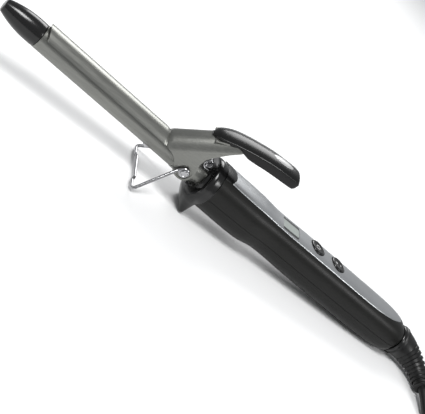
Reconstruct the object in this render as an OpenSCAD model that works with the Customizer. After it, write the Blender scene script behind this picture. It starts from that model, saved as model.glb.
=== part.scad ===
// Curling iron with a spring clamp, a swing-out wire stand and a swivel cord.
// Modelling frame of the sub-parts: X runs from the clamp pivot towards the handle along the
// barrel's axis, Z is up and Y is across.  stand_up() tips that frame by the resting angle and
// lifts it, so that the iron rests on Z = 0 on the guard's lip and the heel of the handle.

/* [Barrel] */
// Outer diameter of the heated barrel
barrel_d = 16; // [14:0.5:19]
// Wall of the barrel tube
barrel_wall = 0.8; // [0.6:0.1:1.2]
// Length of bare barrel from the cool tip to the clamp pivot
barrel_reach = 122; // [100:1:150]
// Length of the cool tip
tip_len = 27; // [22:0.5:34]
// Radius of the cool tip's flat end
tip_end_r = 3.6; // [2.5:0.1:5]

/* [Clamp] */
// Thickness of the clamp's sheet steel
sheet = 1; // [0.8:0.1:1.2]
// Space for hair between the barrel and the clamp
hair_gap = 1.3; // [0.8:0.1:1.8]
// Angle at which the lever rises from the clamp
lever_angle = 43; // [41:0.5:45]
// Distance of the lever's bend ahead of the pivot
bend_x = 23; // [20:0.5:26]
// Radius of the pivot rivets' shanks
rivet_r = 1.5; // [1.2:0.1:1.8]
// Length of the thumb rest behind the pivot
rest_len = 58; // [50:1:60]
// Half width of the thumb rest
rest_half_w = 9; // [8:0.1:9.5]

/* [Stand] */
// Diameter of the stand's wire
wire_d = 2.3; // [2:0.1:2.6]
// Distance of the crossbar's middle ahead of the pivot
stand_x = 20; // [17:0.5:22]
// Depth of the crossbar below the pivot
stand_drop = 26.2; // [24:0.1:26.4]
// Half width of the crossbar
stand_half_w = 25; // [21:0.5:30]

/* [Guard] */
// Radius of the guard's collar
guard_r = 17.3; // [16.8:0.1:18.5]
// Depth of the guard's lip below the barrel's axis
lip_drop = 24.4; // [23:0.1:26]
// Half width of the guard's lip
lip_half_w = 12; // [9:0.5:13]

/* [Handle] */
// Length of the handle shells
handle_len = 186; // [165:1:210]
// Height of the handle behind the guard
front_h = 31.4; // [30.4:0.1:32.4]
// Height of the grip
grip_h = 29; // [27.5:0.1:30.2]
// Width of the grip
grip_w = 30.2; // [29:0.1:32]
// Wall of the handle shells
shell_wall = 2.6; // [2.2:0.1:3]
// Width of the control panel
panel_w = 20; // [18:0.5:21]
// Thickness of the control panel
panel_t = 1.4; // [1:0.1:1.6]
// Diameter of the two control buttons
button_d = 12.4; // [10:0.1:13.5]
// Distance that a button stands proud of the panel
button_proud = 1.2; // [0.8:0.1:1.6]
// Travel of a button
button_travel = 0.8; // [0.4:0.1:0.8]

/* [Cord] */
// Diameter of the mains cord
cord_d = 6; // [5:0.1:7]
// Diameter of the plug's pins
pin_d = 4; // [3.8:0.05:4.8]

/* [Hidden] */
$fn = 64;

run_gap = 0.05;     // radial clearance of a running fit
free_gap = 0.3;     // clearance between pieces that move past each other
far = 400;

barrel_r = barrel_d / 2;
pivot_z = -0.5;
tip_x = -barrel_reach - tip_len;

// clamp sheet: a channel around the barrel's axis
clamp_in = barrel_r + hair_gap;
clamp_out = clamp_in + sheet;
tongue_x = -barrel_reach + 1;
hem_z = 4.6;
dish_r = 5.2;
dish_step = 0.5;
collar_y = clamp_in - dish_step - free_gap;
ear_y = clamp_out - dish_step;
eye_y = ear_y + free_gap + wire_d / 2;
rivet_head_y = eye_y + wire_d / 2 + free_gap;
eye_r = rivet_r + wire_d / 2;

// handle: stations of [x, centre height, half height, half width]
handle_x = 22;
handle_end = handle_x + handle_len;
waist_h = grip_h - 1;
profile = [
    [handle_x, 0.6, front_h / 2, front_h / 2 + 0.8],
    [handle_x + 36, 0.8, front_h / 2 - 0.1, front_h / 2 + 0.6],
    [handle_x + 52, 1.8, waist_h / 2, grip_w / 2 - 0.5],
    [handle_x + 83, 2.4, grip_h / 2 - 0.1, grip_w / 2 - 0.1],
    [handle_x + 0.69 * handle_len, 3.3, grip_h / 2, grip_w / 2],
    [handle_end - 23, 4.2, grip_h / 2 - 0.3, grip_w / 2 - 0.3],
    [handle_end - 10, 4.6, grip_h / 2 - 1.1, grip_w / 2 - 1.1],
    [handle_end - 3, 4.7, grip_h / 2 - 2.7, grip_w / 2 - 2.7],
    [handle_end, 4.7, grip_h / 2 - 4.7, grip_w / 2 - 4.7]];
squareness = 2.7;
seam_z = -2;
seam_angle = 1.75;
swivel_z = 4.7;
panel_x0 = handle_x + 9;
panel_x1 = handle_end - 13;
heel_x = handle_end - 14;

// controls
window_x = 84;
window_len = 15;
window_w = 12;
button_x = [110, 130.5];
board_z = 7;
board_t = 1.6;

// resting pose
lip_x = 20;
heel_z = hermite(profile, heel_x, 1) - hermite(profile, heel_x, 2);
rest_tilt = atan2(heel_z + lip_drop, heel_x - lip_x);
rest_lift = lip_x * sin(rest_tilt) + lip_drop * cos(rest_tilt);
mid_x = (tip_x + handle_end + 3) / 2 * cos(rest_tilt);

// strain relief: bends from the swivel's axis towards the front of the scene
bend_end = [29, -27, -3.3];
relief_base_r = 11.8;
relief_end_r = 5.6;

// cord route on the resting surface, [x, y, z]
lead_points = [
    [207.4, -20, 7.6], [208.3, -27, 6.9], [209.2, -33, 6.2], [210, -39, 5.2], [210.8, -46, 4.1],
    [211.6, -53, 3.3], [213, -61, 3], [216.5, -69, 3], [222, -76, 3], [228.5, -81.5, 3],
    [236, -85.4, 3], [244, -87.8, 3], [254, -89, 3], [266, -89, 3]];
tail_points = [
    [219, -38, 9], [219, -46, 9.6], [219.6, -54, 11], [222.5, -62, 13.4], [228, -69.4, 16],
    [236, -74.5, 18], [246, -76.6, 18.9], [256, -77, 18.9], [262, -77, 18.9]];
coil_x = 262;
coil_y = -46;
coil_in = 15;
coil_out = 46;
coil_layers = 2;

// plug
plug_x = 258;
plug_y = -77;
plug_z = coil_layers * cord_d + 6.9;
plug_len = 34;
plug_w = 35;
plug_t = 13.8;
pin_len = 19;
pin_spacing = 19;

// ---------- functions ----------

function hermite_step(t, i, c) = i <= 0 || i >= len(t) - 1 ? 0
    : (t[i + 1][c] - t[i - 1][c]) / (t[i + 1][0] - t[i - 1][0]);
function span_of(t, x, i = 0) = i >= len(t) - 2 || x <= t[i + 1][0] ? i : span_of(t, x, i + 1);
// smooth value of column c of table t at x
function hermite(t, x, c) =
    let (i = span_of(t, x), h = t[i + 1][0] - t[i][0], u = min(1, max(0, (x - t[i][0]) / h)),
         a = t[i][c], b = t[i + 1][c], m = hermite_step(t, i, c), n = hermite_step(t, i + 1, c))
    a * (1 + 2 * u) * pow(1 - u, 2) + m * h * u * pow(1 - u, 2)
    + b * u * u * (3 - 2 * u) + n * h * u * u * (u - 1);

function rounded(v, n) = sign(v) * pow(abs(v), 2 / n);

function unit(v) = v / norm(v);
function tangent(p, i) = unit(p[min(i + 1, len(p) - 1)] - p[max(i - 1, 0)]);
// directions across the path at each point, carried along it without twist
function carried(p, u, i = 0) = i >= len(p) ? [] :
    let (d = tangent(p, i), v = unit(u - (u * d) * d)) concat([v], carried(p, v, i + 1));
function ring_at(c, d, v, r, sides) = let (w = cross(d, v))
    [for (k = [0:sides - 1]) c + r * (cos(360 * k / sides) * v + sin(360 * k / sides) * w)];

// ---------- building blocks ----------

// closed skin over equal rings of points
module skin(rings) {
    n = len(rings[0]);
    m = len(rings);
    polyhedron([for (r = rings) each r], concat(
        [[for (k = [0:n - 1]) k]],
        [[for (k = [0:n - 1]) m * n - 1 - k]],
        [for (i = [0:m - 2], k = [0:n - 1])
            [i * n + k, (i + 1) * n + k, (i + 1) * n + (k + 1) % n, i * n + (k + 1) % n]]),
        convexity = 6);
}

// round tube of radius r (or one radius for each point) along points p
module tube(p, r, sides = 8) {
    d = tangent(p, 0);
    v = carried(p, cross(d, abs(d[2]) < 0.9 ? [0, 0, 1] : [1, 0, 0]));
    skin([for (i = [0:len(p) - 1])
        ring_at(p[i], tangent(p, i), v[i], is_list(r) ? r[i] : r, sides)]);
}

// height of the handle's outer face at x, y
function outer_z(x, y) = hermite(profile, x, 1) + hermite(profile, x, 2)
    * pow(1 - pow(abs(y) / hermite(profile, x, 3), squareness), 1 / squareness);
function underside(x) = hermite(profile, x, 1) - hermite(profile, x, 2);

// outer and inner sections of the shells as [centre height, half height, half width]
function outer_at(x) = [for (c = [1:3]) hermite(profile, x, c)];
function inner_at(x) = x <= handle_x + 14 ? [0, 10.9, 10.9] : x >= handle_end - 20
    ? [swivel_z, 7, 7] : outer_at(x) - [0, shell_wall, shell_wall];

// points of section t on one side of the seam
function shell_arc(x, t, top, n) =
    let (q = (seam_z + x * tan(seam_angle) - t[0]) / t[1],
         a0 = asin(sign(q) * pow(abs(q), squareness / 2)),
         from = top ? a0 : 180 - a0, to = top ? 180 - a0 : 360 + a0)
    [for (k = [0:n]) let (a = from + (to - from) * k / n)
        [x, t[2] * rounded(cos(a), squareness), t[0] + t[1] * rounded(sin(a), squareness)]];

function turned_round(v) = [for (i = [len(v) - 1:-1:0]) v[i]];

shell_stations = concat([for (d = [0, 7, 14, 14.4]) handle_x + d],
    [for (i = [1:13]) handle_x + 14.4 + (handle_len - 34.8) * i / 14],
    [for (d = [20.4, 20, 15, 10, 6, 3, 1, 0]) handle_end - d]);

module shell_half(top) {
    n = 15;
    size = 2 * n + 2;
    m = len(shell_stations);
    rings = [for (x = shell_stations) concat(shell_arc(x, outer_at(x), top, n),
        turned_round(shell_arc(x, inner_at(x), top, n)))];
    last = (m - 1) * size;
    polyhedron([for (r = rings) each r], concat(
        [for (k = [0:n - 1]) [k, k + 1, size - 2 - k, size - 1 - k]],
        [for (k = [0:n - 1]) [last + k, last + size - 1 - k, last + size - 2 - k, last + k + 1]],
        [for (i = [0:m - 2], k = [0:size - 1]) [i * size + k, (i + 1) * size + k,
            (i + 1) * size + (k + 1) % size, i * size + (k + 1) % size]]), convexity = 6);
}

// strip that follows the handle's outer face, half as wide as w, t thick
module face_strip(x0, x1, w, t, step = 8) {
    count = ceil((x1 - x0) / step);
    across = [-1, -0.75, -0.5, -0.25, 0, 0.25, 0.5, 0.75, 1] * (w / 2);
    skin([for (i = [0:count]) let (x = x0 + (x1 - x0) * i / count)
        concat([for (y = turned_round(across)) [x, y, outer_z(x, y)]],
            [for (y = across) [x, y, outer_z(x, y) - t]])]);
}

module along_x(x0, x1, r) {
    translate([x0, 0, 0]) rotate([0, 90, 0]) cylinder(h = x1 - x0, r = r);
}

module along_y(x, z, y0, y1, r) {
    translate([x, y0, z]) rotate([-90, 0, 0]) cylinder(h = y1 - y0, r = r);
}

// a straight round rod from a to b
module rod(a, b, r) {
    d = b - a;
    translate(a) rotate([0, acos(d[2] / norm(d)), atan2(d[1], d[0])])
        cylinder(h = norm(d), r = r, $fn = 24);
}

// an outline in X and Z, made into a slab from y0 to y1
module slab(y0, y1) {
    translate([0, y1, 0]) rotate([90, 0, 0]) linear_extrude(y1 - y0) children();
}

module both_sides() {
    children();
    mirror([0, 1, 0]) children();
}

// from the modelling frame to the resting pose
module stand_up() {
    translate([-mid_x, 0, rest_lift]) rotate([0, rest_tilt, 0]) children();
}

// a round body about the barrel's axis from an outline of [x, radius]
module turned(outline) {
    rotate([0, 90, 0]) rotate([0, 0, 90]) rotate_extrude()
        polygon([for (p = outline) [p[1], p[0]]]);
}

// ---------- barrel and heater ----------

module barrel_tube() {
    color("#8f908b") stand_up() difference() {
        along_x(-barrel_reach, handle_x + 6, barrel_r);
        along_x(-barrel_reach - 1, handle_x + 7, barrel_r - barrel_wall);
    }
}

module cool_tip() {
    steps = 10;
    straight = 5;
    fall = tip_len - straight;
    // radius of the ogive that meets the end at tip_end_r
    arc_r = (fall * fall + pow(barrel_r - tip_end_r - 0.5, 2)) / (2 * (barrel_r - tip_end_r - 0.5));
    ogive = [for (i = [0:steps]) let (d = fall * i / steps)
        [-barrel_reach - straight - d, barrel_r - arc_r + sqrt(arc_r * arc_r - d * d)]];
    color("#141414") stand_up() turned(concat(
        [[-barrel_reach + 9, 0], [-barrel_reach + 9, barrel_r - barrel_wall - 0.6],
         [-barrel_reach, barrel_r - barrel_wall], [-barrel_reach, barrel_r]],
        ogive, [[tip_x, tip_end_r], [tip_x, 0]]));
}

heater_x0 = -barrel_reach + 12;
heater_x1 = -8;
core_w = 9;
core_t = 2.4;

module heater_core() {
    color("#e8e2d4") stand_up() translate([heater_x0, -core_w / 2, -core_t / 2])
        cube([heater_x1 - heater_x0, core_w, core_t]);
}

// half-round block that carries heat from the core to the barrel
module spreader() {
    intersection() {
        along_x(heater_x0, heater_x1, barrel_r - barrel_wall - 0.1);
        translate([heater_x0, -barrel_r, core_t / 2]) cube([heater_x1 - heater_x0, barrel_d, barrel_r]);
    }
}

module heat_spreader_upper() {
    color("#b9bcc0") stand_up() spreader();
}

module heat_spreader_lower() {
    color("#b9bcc0") stand_up() mirror([0, 0, 1]) spreader();
}

module temperature_sensor() {
    color("#c8b070") stand_up() translate([heater_x1 + 2, 0, 2.4]) {
        sphere(r = 1.3, $fn = 24);
        rotate([0, 90, 0]) cylinder(h = 22, r = 0.7, $fn = 24);
    }
}

module thermal_fuse() {
    color("#c9c9c9") stand_up() translate([0, 0, -3]) {
        along_x(-4, 8, 1.9);
        along_x(-6.5, 20, 0.5);
    }
}

module barrel_mount() {
    color("#d9d0bd") stand_up() difference() {
        along_x(handle_x, handle_x + 14, 12.4);
        along_x(handle_x - 1, handle_x + 15, barrel_r);
    }
}

// ---------- pivot ----------

module pivot_collar() {
    color("#9a9b98") stand_up() difference() {
        union() {
            along_x(-7, 7, barrel_r + 0.4);
            along_y(0, pivot_z, -collar_y, collar_y, dish_r - 0.4);
        }
        along_x(-8, 8, barrel_r);
        along_y(0, pivot_z, -far, far, rivet_r);
    }
}

module pivot_rivets() {
    head_r = rivet_r + 1.1;
    color("#c4c6c8") stand_up() both_sides() {
        along_y(0, pivot_z, barrel_r, rivet_head_y + 0.1, rivet_r);
        along_y(0, pivot_z, rivet_head_y, rivet_head_y + 0.9, head_r);
    }
}

// ---------- clamp ----------

// outline of the clamp's side: hem, ear, lever
module clamp_outline() {
    slope = tan(lever_angle);
    neck_x = -2;
    difference() {
        union() {
            translate([0, pivot_z]) circle(r = 6.5);
            polygon([
                [tongue_x, hem_z], [-bend_x - 1, hem_z], [-17, 4.3], [-13.5, 3.2], [-10.5, 1.2],
                [-8, -2.4], [-5.6, -4.6], [5.4, -4.4], [6.4, 0], [5.6, 4], [5.6, 21],
                [10.4, 28.6], [16, 35.6], [13, 36], [8, 34.5], [2, 31.5],
                [neck_x, clamp_out + (bend_x + neck_x) * slope], [-bend_x, clamp_out],
                [tongue_x, clamp_out]]);
        }
        translate([14.6, 12.2]) circle(r = 11.8);
    }
}

// solid channel of half width r along the barrel and, mitred at the bend, along the lever
module channel(r, more = 0) {
    mitre = lever_angle / 2;
    axis_x = -bend_x + clamp_out * tan(mitre);
    ring = concat([for (a = [0:7.5:180]) r * [cos(a), sin(a)]], [[-r, -40], [r, -40]]);
    lever = (70 + more) * [cos(lever_angle), 0, sin(lever_angle)];
    bend = [for (q = ring) [axis_x - q[1] * tan(mitre), q[0], q[1]]];
    skin([[for (q = ring) [tongue_x - 1 - more, q[0], q[1]]], bend, [for (b = bend) b + lever]]);
}

// plan of the clamp's rounded front end
module tongue_plan() {
    round_len = 6.5;
    polygon(concat([for (a = [90:10:270])
        [tongue_x + round_len + round_len * cos(a), (clamp_out + 0.1) * sin(a)]],
        [[80, -clamp_out - 1], [80, clamp_out + 1]]));
}

module clamp() {
    color("#8b8c87") stand_up() difference() {
        union() {
            difference() {
                intersection() {
                    channel(clamp_out);
                    slab(-far, far) clamp_outline();
                    translate([0, 0, -20]) linear_extrude(80) tongue_plan();
                }
                channel(clamp_in, 1);
            }
            // steel tongue that the thumb rest is moulded on
            slab(-clamp_in - 0.2, clamp_in + 0.2)
                polygon([[-2, 27.9], [2, 30.3], [8, 33.4], [14, 34.9], [14, 35.9], [8, 34.5], [2, 31.5],
                    [-2, 29.3]]);
            slab(-6, 6) polygon([[12, 34.8], [rest_len - 12, 40.2], [rest_len - 12, 41.2], [12, 35.8]]);
            // dished floor around each rivet
            both_sides() along_y(0, pivot_z, ear_y - sheet, ear_y, dish_r + 0.7);
        }
        both_sides() along_y(0, pivot_z, ear_y, clamp_out + 1, dish_r);
        along_y(0, pivot_z, -far, far, rivet_r + run_gap);
    }
}

// thumb rest: stations of [x, underside, crease, crown above the crease, half width share]
rest_table = [
    [-4.5, 27.8, 28.7, 0.4, 0.2], [-2, 28.4, 31, 1.2, 0.6], [2, 29.8, 33.2, 1.7, 0.84],
    [8, 32, 36, 1.9, 0.97], [15, 34.4, 38.3, 2, 1], [22, 33.8, 40.2, 2, 1],
    [36, 36, 43.2, 2, 1], [rest_len - 8, 37.7, 44.7, 2, 0.99],
    [rest_len - 1.2, 38.6, 45, 1.8, 0.96], [rest_len, 39.6, 44.4, 1.4, 0.9]];
rest_section = [[-0.86, 0, 0], [-1, 0.62, 0], [-1, 1, 0], [-0.8, 1, 0.5], [-0.45, 1, 0.86], [0, 1, 1],
    [0.45, 1, 0.86], [0.8, 1, 0.5], [1, 1, 0], [1, 0.62, 0], [0.86, 0, 0]];

function rest_ring(s) = [for (q = rest_section)
    [s[0], rest_half_w * s[4] * q[0], s[1] + (s[2] - s[1]) * q[1] + s[3] * q[2]]];

module rest_inlay_form(r, z0, z1) {
    translate([rest_len - 15.5, 0, z0]) linear_extrude(z1 - z0)
        polygon([for (a = [0:15:345]) [8 * cos(a), r * sin(a)]]);
}

module thumb_rest() {
    color("#161616") stand_up() difference() {
        skin([for (s = rest_table) rest_ring(s)]);
        rest_inlay_form(3.4, 45.3, 60);
    }
}

module thumb_rest_inlay() {
    color("#9a9a98") stand_up() intersection() {
        rest_inlay_form(3.3, 45.3, 60);
        translate([0, 0, -0.15]) skin([for (s = rest_table) rest_ring(s)]);
    }
}

// torsion spring: one leg on the barrel, coils above it, one leg up inside the lever
spring_wire = 1.2;
spring_r = 2.8;
spring_x = 9.4;
spring_half_w = 4.6;
spring_turns = 4.25;

function spring_path() =
    let (leg_z = barrel_r + spring_wire / 2 + 0.1,
         c = leg_z + spring_r, n = 17 * 4)
    concat([[spring_x + 3.2, -spring_half_w, leg_z], [spring_x + 1.6, -spring_half_w, leg_z]],
        [for (i = [0:n]) let (a = 360 * spring_turns * i / n)
            [spring_x - spring_r * sin(a), -spring_half_w + 2 * spring_half_w * i / n,
             c - spring_r * cos(a)]],
        [[spring_x - spring_r - 1.4, spring_half_w, c + 4], [1, spring_half_w, 26.8]]);

module clamp_spring() {
    color("#d0d2d4") stand_up() tube(spring_path(), spring_wire / 2, 8);
}

// ---------- stand ----------

// half of the stand's wire, from the end of its eye to the middle of the crossbar
function stand_half() =
    let (eye = [0, eye_y, pivot_z], corner = [-stand_x, stand_half_w, -stand_drop],
         down = unit([corner[0], 0, corner[2] - pivot_z]), back = [down[2], 0, -down[0]],
         start = eye + eye_r * back, flare = start + 3 * down, leg = unit(corner - flare),
         bar = [0, -1, 0], round = 3.4, mid = corner - 1.2 * down)
    concat([for (a = [330:-22:20]) eye + eye_r * (cos(a) * back - sin(a) * down)],
        [start, start + 1.6 * down, flare + 0.8 * leg, flare + 3 * leg, corner - 12 * leg],
        [for (u = [0:0.2:1]) corner - round * (1 - u) * (1 - u) * leg + round * u * u * bar],
        [[corner[0], 15, corner[2]], [mid[0], 11, mid[2]], [mid[0], 5, mid[2]]]);

module stand() {
    half = stand_half();
    color("#b9bbbd") stand_up() difference() {
        tube(concat(half, [for (p = turned_round(half)) [p[0], -p[1], p[2]]]), wire_d / 2, 12);
        along_y(0, pivot_z, -far, far, rivet_r + run_gap);
    }
}

module stand_stud() {
    stud_x = -stand_x - 6.2;
    color("#c0c2c4") stand_up() intersection() {
        difference() {
            translate([stud_x, 0, -barrel_r - 1.8]) cylinder(h = 4, r = 2.4);
            along_x(stud_x - 5, stud_x + 5, barrel_r);
        }
        translate([stud_x, 0, -barrel_r - 1.8 + 4.6]) sphere(r = 4.6);
    }
}

// ---------- guard ----------

// outline of the lip that the iron rests on
function lip_outline() = [[9.4, -11.6], [10.4, -14.6], [13, -18.4], [lip_x - 4, -lip_drop + 3],
    [lip_x - 2.4, -lip_drop + 0.8], [lip_x - 1, -lip_drop + 0.12], [lip_x, -lip_drop],
    [lip_x + 1.4, -lip_drop + 0.4], [lip_x + 2.6, -lip_drop + 2.2], [handle_x + 1.8, -18.6],
    [handle_x + 2, -16.2], [handle_x, -16.2], [handle_x, -9], [15, -9]];

module guard() {
    nose_x = 13;
    color("#121212") stand_up() difference() {
        union() {
            turned([[nose_x, barrel_r], [nose_x, 11], [nose_x + 2.6, 12.4], [nose_x + 1.6, 15.4],
                [nose_x + 2.4, guard_r - 0.4], [nose_x + 4, guard_r + 0.3], [nose_x + 7, guard_r],
                [handle_x, guard_r - 0.1], [handle_x, barrel_r]]);
            difference() {
                slab(-lip_half_w, lip_half_w) polygon(lip_outline());
                along_x(0, far, 13.9);
            }
        }
        for (a = [-40:20:40]) rotate([a, 0, 0]) translate([nose_x - 1, 0, -9.5])
            rotate([0, 90, 0]) cylinder(h = 6, r = 0.8, $fn = 24);
    }
}

// saddle that carries the guard's line back to the control panel
module guard_cap() {
    color("#121212") stand_up() translate([0, 0, 0.6])
        face_strip(handle_x, panel_x0, panel_w, panel_t + 0.6, 5);
}

// ---------- handle ----------

screw_x = [50, 118, 184];

module handle_cuts() {
    along_x(handle_x - 1, handle_x + 14, 12.4);
    translate([0, 0, swivel_z]) along_x(handle_end - 21, handle_end + 1, swivel_r + run_gap);
}

swivel_r = 8;

module button_bores(r) {
    for (x = button_x) translate([x, 0, 9]) cylinder(h = 20, r = r);
}

module window_hole(grow) {
    translate([window_x - window_len / 2 - grow, -window_w / 2 - grow, 9])
        cube([window_len + 2 * grow, window_w + 2 * grow, 20]);
}

module handle_upper_shell() {
    color("#2a2a29") stand_up() difference() {
        shell_half(true);
        handle_cuts();
        translate([handle_x - 1, -panel_w / 2, 9]) cube([panel_x1 - handle_x + 1, panel_w, far]);
    }
}

module handle_lower_shell() {
    color("#272726") stand_up() difference() {
        union() {
            shell_half(false);
            for (x = screw_x) translate([x, 0, underside(x) + 1]) cylinder(h = 11, r = 3.2);
        }
        handle_cuts();
        for (x = screw_x) translate([x, 0, underside(x)]) {
            translate([0, 0, -2]) cylinder(h = 16, r = 1.3);
            translate([0, 0, -2]) cylinder(h = 4.2, r = 2.7);
        }
    }
}

module control_panel() {
    color("#c9cbcd") stand_up() {
        difference() {
            face_strip(panel_x0, panel_x1, panel_w, panel_t);
            button_bores(button_d / 2 + 0.3);
            window_hole(0);
        }
        // posts that hold the circuit board
        for (x = [68, 160], y = [-6.5, 6.5]) translate([x, y, board_z + board_t / 2])
            cylinder(h = outer_z(x, y) - panel_t / 2 - board_z - board_t / 2, r = 1.8);
    }
}

module display_window() {
    color("#9fb0a8") stand_up() translate([0, 0, -0.3])
        face_strip(window_x - window_len / 2, window_x + window_len / 2, window_w, panel_t - 0.3);
}

module display_module() {
    color("#5c6b5c") stand_up() translate([window_x - 9, -7, board_z + board_t / 2])
        cube([18, 14, 3.2]);
}

function panel_top(x) = hermite(profile, x, 1) + hermite(profile, x, 2);

module button(i) {
    top = panel_top(button_x[i]) + button_proud;
    stem = board_z + board_t / 2 + 3.4;
    translate([button_x[i], 0, 0]) {
        translate([0, 0, top - 4]) cylinder(h = 3.2, r = button_d / 2);
        translate([0, 0, top - 1]) cylinder(h = 0.7, r = button_d / 2 - 0.5);
        translate([0, 0, top - 0.6]) difference() {
            cylinder(h = 0.6, r = button_d / 2 - 1);
            translate([0, 0, 0.3]) cylinder(h = 1, r = button_d / 2 - 2.2);
        }
        translate([0, 0, stem]) cylinder(h = top - 3 - stem, r = 1.6, $fn = 24);
    }
}

module power_button() {
    color("#1b1b1b") stand_up() button(0);
}

module temperature_button() {
    color("#1b1b1b") stand_up() button(1);
}

module circuit_board() {
    color("#2f6b3a") stand_up() translate([62, -9, board_z - board_t / 2]) cube([104, 18, board_t]);
}

module button_switches() {
    color("#303030") stand_up() for (x = button_x) translate([x, 0, board_z + board_t / 2]) {
        translate([-3, -3, 0]) cube([6, 6, 1.6]);
        cylinder(h = 3.3 - button_travel, r = 1.6, $fn = 24);
    }
}

module board_components() {
    under = board_z - board_t / 2;
    color("#404a55") stand_up() {
        translate([72, -6, under - 6]) cube([9, 4, 6]);
        translate([88, -5, under - 7]) cube([13, 6, 7]);
        translate([104, 3.5, under - 5]) cylinder(h = 5, r = 2.5, $fn = 24);
        translate([134, -5, under - 4]) cube([10, 10, 4]);
        translate([152, -3, under - 7]) cylinder(h = 7, r = 4, $fn = 24);
    }
}

module heater_leads() {
    lead_r = 0.9;
    color("#b23a2e") stand_up() both_sides()
        tube([[-6, 3, 0], [6, 3.6, 0.4], [20, 4, 0.6], [34, 5, 0.8], [46, 6, 2.2], [56, 6.5, 4.4],
            [61, 6.5, 6.4]], lead_r, 8);
}

module shell_screws() {
    color("#8a8d90") stand_up() for (x = screw_x) translate([x, 0, underside(x) + 0.8]) {
        cylinder(h = 1.4, r = 2.5);
        cylinder(h = 10, r = 1.3);
    }
}

// ---------- swivel, strain relief, cord and plug ----------

bush_x = handle_end - 12;

module swivel_bush() {
    color("#3a3a3a") stand_up() translate([0, 0, swivel_z]) difference() {
        along_x(bush_x - 6, bush_x + 6.8, swivel_r + 0.02);
        along_x(bush_x - 4, bush_x + 5, swivel_r - 1.5);
        along_x(bush_x + 4, bush_x + 8, 5 + run_gap);
        along_x(bush_x - 8, bush_x, 3);
    }
}

module swivel_core() {
    color("#202020") stand_up() translate([0, 0, swivel_z]) {
        along_x(bush_x - 2, bush_x + 4.5, 6);
        along_x(bush_x + 4, handle_end + 2, 5);
        along_x(handle_end + 0.4, handle_end + 3, relief_base_r - 0.6);
    }
}

module contact_rings() {
    color("#c9a24a") stand_up() translate([0, 0, swivel_z]) for (i = [0, 1]) difference() {
        along_x(bush_x - 0.6 + 2.6 * i, bush_x + 0.8 + 2.6 * i, 6.25);
        along_x(bush_x - 1 + 2.6 * i, bush_x + 1.4 + 2.6 * i, 6);
    }
}

// centre line of the strain relief: starts along the swivel's axis, ends towards -Y
function relief_at(u) = let (s = 1 - u, a = bend_end)
    [3 * s * s * u * 15 + 3 * s * u * u * a[0] + u * u * u * a[0],
     3 * s * u * u * (a[1] + 16) + u * u * u * a[1],
     3 * s * u * u * a[2] * 0.8 + u * u * u * a[2]];

module strain_relief() {
    n = 14;
    base = [handle_end + 3, 0, swivel_z];
    radii = [for (i = [0:n]) let (u = i / n)
        u < 0.05 ? relief_base_r : relief_base_r + (relief_end_r - relief_base_r) * pow(u, 0.85)];
    color("#151515") stand_up() tube([for (i = [0:n]) base + relief_at(i / n)], radii, 16);
}

module mains_cord() {
    color("#1a1a1a") tube(lead_points, cord_d / 2, 10);
}

module cord_coil() {
    color("#1a1a1a") translate([coil_x, coil_y, 0]) rotate_extrude()
        translate([coil_in, 0]) square([coil_out - coil_in, coil_layers * cord_d]);
}

module cord_tail() {
    color("#1a1a1a") tube(tail_points, cord_d / 2, 10);
}

module cord_tie() {
    w = coil_out - coil_in;
    color("#303030") translate([coil_x, coil_y, 0]) rotate([0, 0, 40]) difference() {
        translate([coil_in - 1.2, -4, 0]) cube([w + 2.4, 8, coil_layers * cord_d + 1.2]);
        translate([coil_in, -5, 1]) cube([w, 10, coil_layers * cord_d - 1]);
    }
}

module plug_body() {
    neck = 9;
    color("#1c1c1c") translate([plug_x, plug_y, plug_z]) rotate([90, 0, 90]) {
        hull() {
            translate([0, 0, plug_len - 14]) linear_extrude(14)
                polygon([[-17.5, 2], [-13, 6.9], [13, 6.9], [17.5, 2], [17.5, -2], [13, -6.9],
                    [-13, -6.9], [-17.5, -2]]);
            translate([0, 0, neck]) linear_extrude(1)
                polygon([[-9, 2], [-6, 5], [6, 5], [9, 2], [9, -2], [6, -5], [-6, -5], [-9, -2]]);
        }
        cylinder(h = neck + 1, r = 4.6);
    }
}

module plug_pins() {
    color("#c8cacc") translate([plug_x + plug_len, plug_y, plug_z]) both_sides()
        translate([0, pin_spacing / 2, 0]) along_x(0, pin_len, pin_d / 2);
}

barrel_tube();
cool_tip();
heater_core();
heat_spreader_upper();
heat_spreader_lower();
temperature_sensor();
thermal_fuse();
barrel_mount();
pivot_collar();
pivot_rivets();
clamp();
thumb_rest();
thumb_rest_inlay();
clamp_spring();
stand();
stand_stud();
guard();
guard_cap();
handle_upper_shell();
handle_lower_shell();
control_panel();
display_window();
display_module();
power_button();
temperature_button();
circuit_board();
button_switches();
board_components();
heater_leads();
shell_screws();
swivel_bush();
swivel_core();
contact_rings();
strain_relief();
mains_cord();
cord_coil();
cord_tail();
cord_tie();
plug_body();
plug_pins();
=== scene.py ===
import math
import bmesh
import bpy
from mathutils import Matrix, Vector


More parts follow.
